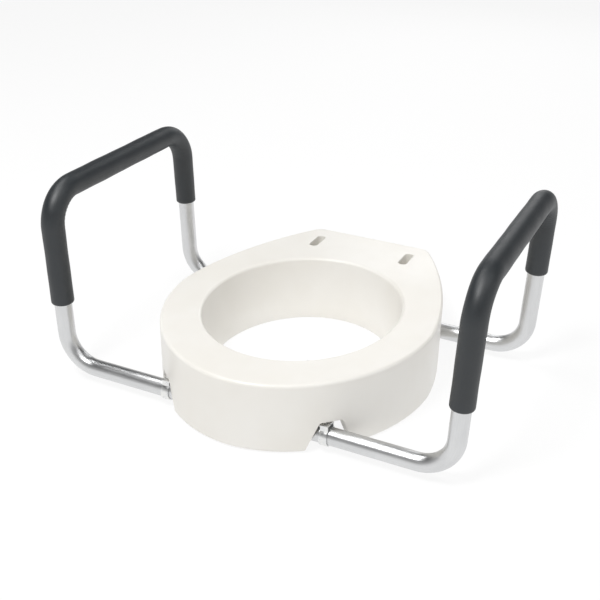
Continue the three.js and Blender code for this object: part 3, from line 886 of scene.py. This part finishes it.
def blend_colours(tree, factor, first, second):
    node = tree.nodes.new("ShaderNodeMix")
    node.data_type = "RGBA"
    node.clamp_factor = True
    tree.links.new(factor, node.inputs["Factor"])
    for socket, colour in (("A", first), ("B", second)):
        target = next(s for s in node.inputs if s.name == socket and s.type == "RGBA")
        if isinstance(colour, tuple):
            target.default_value = (*colour, 1)
        else:
            tree.links.new(colour, target)
    return next(s for s in node.outputs if s.type == "RGBA")


def combine(tree, first, second, operation="ADD"):
    node = tree.nodes.new("ShaderNodeMath")
    node.operation = operation
    for socket, value in zip(node.inputs, (first, second)):
        if isinstance(value, (int, float)):
            socket.default_value = value
        else:
            tree.links.new(value, socket)
    return node.outputs["Value"]


def bump(tree, height, distance, strength):
    node = tree.nodes.new("ShaderNodeBump")
    node.inputs["Distance"].default_value = distance
    node.inputs["Strength"].default_value = strength
    tree.links.new(height, node.inputs["Height"])
    return node.outputs["Normal"]


def edges(tree, low=0.52, high=0.62):
    """Near 1 along outward edges."""
    node = tree.nodes.new("ShaderNodeNewGeometry")
    return spread(tree, node.outputs["Pointiness"], low, high)


def seat_plastic():
    """Glossy moulded plastic: warm white, faint flow marks, fine orange peel."""
    material, tree, shader = new_material("seat_plastic", (0.88, 0.865, 0.82), 0.34, Specular_IOR_Level=0.45)
    here = place(tree)
    cloud = noise(tree, here, 9, 3)
    flow = noise(tree, place(tree, (1, 1, 0.35)), 38, 4)
    colour = blend_colours(tree, spread(tree, cloud, 0.35, 0.65), (0.865, 0.84, 0.785), (0.895, 0.875, 0.83))
    colour = blend_colours(tree, spread(tree, flow, 0.5, 0.8, 0, 0.35), colour, (0.855, 0.83, 0.775))
    tree.links.new(colour, shader.inputs["Base Color"])
    tree.links.new(spread(tree, flow, 0.3, 0.7, 0.30, 0.40), shader.inputs["Roughness"])
    peel = noise(tree, here, 420, 2, 0.5)
    tree.links.new(bump(tree, peel, 0.00006, 0.35), shader.inputs["Normal"])
    return material


def arm_aluminium():
    """Satin anodised tube: fine lines drawn along it, cloudy sheen, a few small scuffs."""
    material, tree, shader = new_material("arm_aluminium", (0.80, 0.81, 0.83), 0.3, 1.0)
    lines = noise(tree, place(tree, (1, 1, 0.012), "grain_place"), 2600, 3, 0.6)
    cloud = noise(tree, place(tree, (1, 1, 0.4), "grain_place"), 60, 3)
    scuff = noise(tree, place(tree, (1, 1, 0.25), "grain_place"), 320, 5, 0.7)
    tone = combine(tree, spread(tree, lines, 0.3, 0.7, 0, 0.6), spread(tree, cloud, 0.35, 0.65, 0, 0.4))
    colour = blend_colours(tree, tone, (0.60, 0.605, 0.61), (0.72, 0.725, 0.73))
    colour = blend_colours(tree, spread(tree, scuff, 0.66, 0.78, 0, 0.5), colour, (0.49, 0.495, 0.50))
    tree.links.new(colour, shader.inputs["Base Color"])
    rough = combine(tree, spread(tree, lines, 0.3, 0.7, 0.27, 0.35), spread(tree, cloud, 0.35, 0.65, 0, 0.06))
    tree.links.new(rough, shader.inputs["Roughness"])
    tree.links.new(bump(tree, lines, 0.00002, 0.6), shader.inputs["Normal"])
    return material


def grip_foam():
    """Closed-cell foam with a thin skin: dark blue-grey, fine cells, soft sheen."""
    material, tree, shader = new_material("grip_foam", (0.018, 0.022, 0.025), 0.5, Specular_IOR_Level=0.8)
    here = place(tree, (1, 1, 1), "grain_place")
    cells = noise(tree, here, 1500, 3, 0.65)
    mottle = noise(tree, here, 130, 4)
    worn = noise(tree, here, 22, 3)
    tone = combine(tree, spread(tree, cells, 0.3, 0.7, 0, 0.5), spread(tree, mottle, 0.3, 0.7, 0, 0.5))
    colour = blend_colours(tree, tone, (0.003, 0.006, 0.009), (0.008, 0.013, 0.017))
    colour = blend_colours(tree, spread(tree, worn, 0.5, 0.75, 0, 0.4), colour, (0.013, 0.019, 0.024))
    tree.links.new(colour, shader.inputs["Base Color"])
    tree.links.new(spread(tree, mottle, 0.3, 0.7, 0.47, 0.53), shader.inputs["Roughness"])
    tree.links.new(bump(tree, cells, 0.00012, 0.35), shader.inputs["Normal"])
    return material


def plated_steel():
    """Zinc plating: bright, with cloudy spangle and a few dull spots."""
    material, tree, shader = new_material("plated_steel", (0.78, 0.78, 0.77), 0.3, 1.0)
    here = place(tree)
    cloud = noise(tree, here, 180, 4)
    spots = noise(tree, here, 700, 3, 0.7)
    colour = blend_colours(tree, spread(tree, cloud, 0.35, 0.65), (0.70, 0.71, 0.72), (0.84, 0.84, 0.82))
    colour = blend_colours(tree, spread(tree, spots, 0.62, 0.75, 0, 0.5), colour, (0.55, 0.54, 0.50))
    colour = blend_colours(tree, combine(tree, edges(tree), 0.3, "MULTIPLY"), colour, (0.9, 0.9, 0.9))
    tree.links.new(colour, shader.inputs["Base Color"])
    tree.links.new(spread(tree, cloud, 0.3, 0.7, 0.24, 0.40), shader.inputs["Roughness"])
    tree.links.new(bump(tree, spots, 0.00002, 0.5), shader.inputs["Normal"])
    return material


def plain_steel(name, dark, light, low, high):
    material, tree, shader = new_material(name, light, low, 1.0)
    here = place(tree)
    streaks = noise(tree, place(tree, (0.15, 1, 1)), 1400, 3)
    cloud = noise(tree, here, 260, 3)
    colour = blend_colours(tree, spread(tree, streaks, 0.3, 0.7), dark, light)
    tree.links.new(colour, shader.inputs["Base Color"])
    tree.links.new(spread(tree, cloud, 0.3, 0.7, low, high), shader.inputs["Roughness"])
    tree.links.new(bump(tree, streaks, 0.00002, 0.5), shader.inputs["Normal"])
    return material


def pad_rubber():
    """Grey moulded rubber, matt, with fine pits."""
    material, tree, shader = new_material("pad_rubber", (0.27, 0.28, 0.28), 0.8, Specular_IOR_Level=0.35)
    here = place(tree)
    pits = noise(tree, here, 1600, 3, 0.7)
    dust = noise(tree, here, 90, 4)
    colour = blend_colours(tree, spread(tree, dust, 0.35, 0.7), (0.24, 0.25, 0.25), (0.33, 0.34, 0.34))
    tree.links.new(colour, shader.inputs["Base Color"])
    tree.links.new(spread(tree, pits, 0.3, 0.7, 0.72, 0.9), shader.inputs["Roughness"])
    tree.links.new(bump(tree, pits, 0.0001, 0.5), shader.inputs["Normal"])
    return material


MATERIALS = {
    "seat_plastic": seat_plastic(),
    "arm_aluminium": arm_aluminium(),
    "grip_foam": grip_foam(),
    "plated_steel": plated_steel(),
    "button_steel": plain_steel("button_steel", (0.60, 0.60, 0.61), (0.72, 0.72, 0.72), 0.2, 0.34),
    "spring_steel": plain_steel("spring_steel", (0.40, 0.41, 0.43), (0.55, 0.56, 0.58), 0.26, 0.42),
    "pad_rubber": pad_rubber(),
}


# ---------- pieces ----------
def stand_for(piece, node):
    """The piece shows in place of the CAD node, on its body and with its material."""
    slot = SLOT_OF[node]
    piece.data.materials.clear()
    piece.data.materials.append(MATERIALS[slot])
    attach(piece, BODY_OF[node])
    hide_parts(node)
    return piece


def copy_to(pattern, name, x, y, z, turned_round=False):
    piece = bpy.data.objects.new(name, pattern.data.copy())
    bpy.context.scene.collection.objects.link(piece)
    turn = Matrix.Rotation(math.pi if turned_round else 0, 4, "Z")
    piece.data.transform(Matrix.Translation(Vector((x, y, z)) * MM) @ turn)
    return piece


stand_for(seat_shell(), "seat_shell")
patterns = {
    "outer_strap": outer_strap("outer_strap"),
    "inner_strap": inner_strap("inner_strap"),
    "screw": strap_screw("screw"),
    "snap_button": snap_button("snap_button"),
    "button_spring": button_spring("button_spring"),
    "foot_pad": foot_pad("foot_pad"),
}
for side, sign in SIDES.items():
    stand_for(arm_tube(side, sign), f"{side}_arm_tube")
    grip = stand_for(arm_grip(side, sign), f"{side}_arm_grip")
    for end, leg in LEGS.items():
        node = f"{end}_{side}_"
        outward = sign < 0
        places = {
            "outer_strap": (sign * leg["wall_x"], leg["y"], LEG_Z),
            "inner_strap": (sign * leg["button_x"], leg["y"], LEG_Z),
            "snap_button": (sign * leg["button_x"], leg["y"], LEG_Z),
            "button_spring": (sign * leg["button_x"], leg["y"], LEG_Z),
        }
        for kind, spot in places.items():
            piece = stand_for(copy_to(patterns[kind], f"{node}{kind}_skin", *spot, outward), node + kind)
            if kind == "button_spring":
                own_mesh(piece)
        pad = cad_middle(node + "foot_pad")
        stand_for(copy_to(patterns["foot_pad"], f"{node}foot_pad_skin", pad.x, pad.y, 0), node + "foot_pad")
        for strap in ("outer", "inner"):
            for number in (1, 2):
                name = f"{node}{strap}_screw_{number}"
                middle = cad_middle(name)
                z = cad_box(name)[0].z + SCREW_HEAD_HEIGHT
                stand_for(copy_to(patterns["screw"], f"{name}_skin", middle.x, middle.y, z), name)
for pattern in patterns.values():
    bpy.data.objects.remove(pattern)


# ---------- floor and light ----------
def make_floor():
    """A round studio floor that sweeps up into a low wall, so that no view sees its edge."""
    drop, flat, sweep, wall = -0.2, 3000, 1000, 2200  # mm
    floor_glow, wall_glow, fades_by = 0.87, 0.3, 0.7
    profile = [(0, drop)]
    for angle in np.linspace(0, math.pi / 2, 16):
        profile.append((flat + sweep * math.sin(angle), drop + sweep * (1 - math.cos(angle))))
    profile.append((flat + sweep, wall))
    angles = np.linspace(0, 2 * math.pi, 96, endpoint=False)
    spokes = np.stack([np.cos(angles), np.sin(angles)], 1)
    rings = [ring_at(spokes * max(radius, 1), z) * MM for radius, z in profile]
    count = len(angles)
    faces = [tuple(range(count))]
    for i in range(len(rings) - 1):
        for k in range(count):
            near, far = i * count + k, i * count + (k + 1) % count
            faces.append((near, far, far + count, near + count))
    mesh = bpy.data.meshes.new("floor")
    mesh.from_pydata([tuple(p) for p in np.vstack(rings)], [], faces)
    mesh.shade_smooth()
    floor = bpy.data.objects.new("floor", mesh)
    bpy.context.scene.collection.objects.link(floor)
    material, tree, shader = new_material("floor", (0.14, 0.14, 0.14), 0.9, Specular_IOR_Level=0.1)
    here = place(tree)
    tree.links.new(spread(tree, noise(tree, here, 3), 0.3, 0.7, 0.85, 0.95), shader.inputs["Roughness"])
    parts = tree.nodes.new("ShaderNodeSeparateXYZ")
    tree.links.new(here, parts.inputs["Vector"])
    glow = spread(tree, parts.outputs["Z"], 0, fades_by, floor_glow, wall_glow)
    tree.links.new(glow, shader.inputs["Emission Strength"])
    shader.inputs["Emission Color"].default_value = (1, 1, 1, 1)
    mesh.materials.append(material)


# Softboxes round the object: azimuth and elevation in degrees, side in metres, watts.
SOFTBOXES = {
    "key": (348, 60, 0.6, 34),
    "low_right": (90, 22, 0.9, 2),
    "low_behind": (190, 22, 0.9, 5),
    "right_front": (45, 50, 1.1, 4),
    "right": (90, 50, 1.1, 6),
    "behind": (180, 50, 1.1, 4),
    "top_front": (45, 72, 1.1, 4),
    "top_left": (262, 66, 0.9, 15),
}
SOFTBOX_DISTANCE = 2.4
SOFTBOX_AIM = Vector((0, 0, 0.12))


def softbox(name, azimuth, elevation, side, watts):
    data = bpy.data.lights.new(name, "AREA")
    data.shape = "SQUARE"
    data.size = side
    data.energy = watts
    light = bpy.data.objects.new(name, data)
    bpy.context.scene.collection.objects.link(light)
    turn, rise = math.radians(azimuth), math.radians(elevation)
    away = Vector((math.sin(turn) * math.cos(rise), -math.cos(turn) * math.cos(rise), math.sin(rise)))
    light.location = SOFTBOX_AIM + away * SOFTBOX_DISTANCE
    light.rotation_mode = "QUATERNION"
    light.rotation_quaternion = (-away).to_track_quat("-Z", "Y")


def make_light():
    world = bpy.data.worlds.new("studio")
    world.use_nodes = True
    world.node_tree.nodes["Background"].inputs["Strength"].default_value = 0
    bpy.context.scene.world = world
    for name, settings in SOFTBOXES.items():
        softbox(name, *settings)
    bpy.context.scene.view_settings.view_transform = "Standard"


make_floor()
make_light()

bpy.context.view_layer.update()
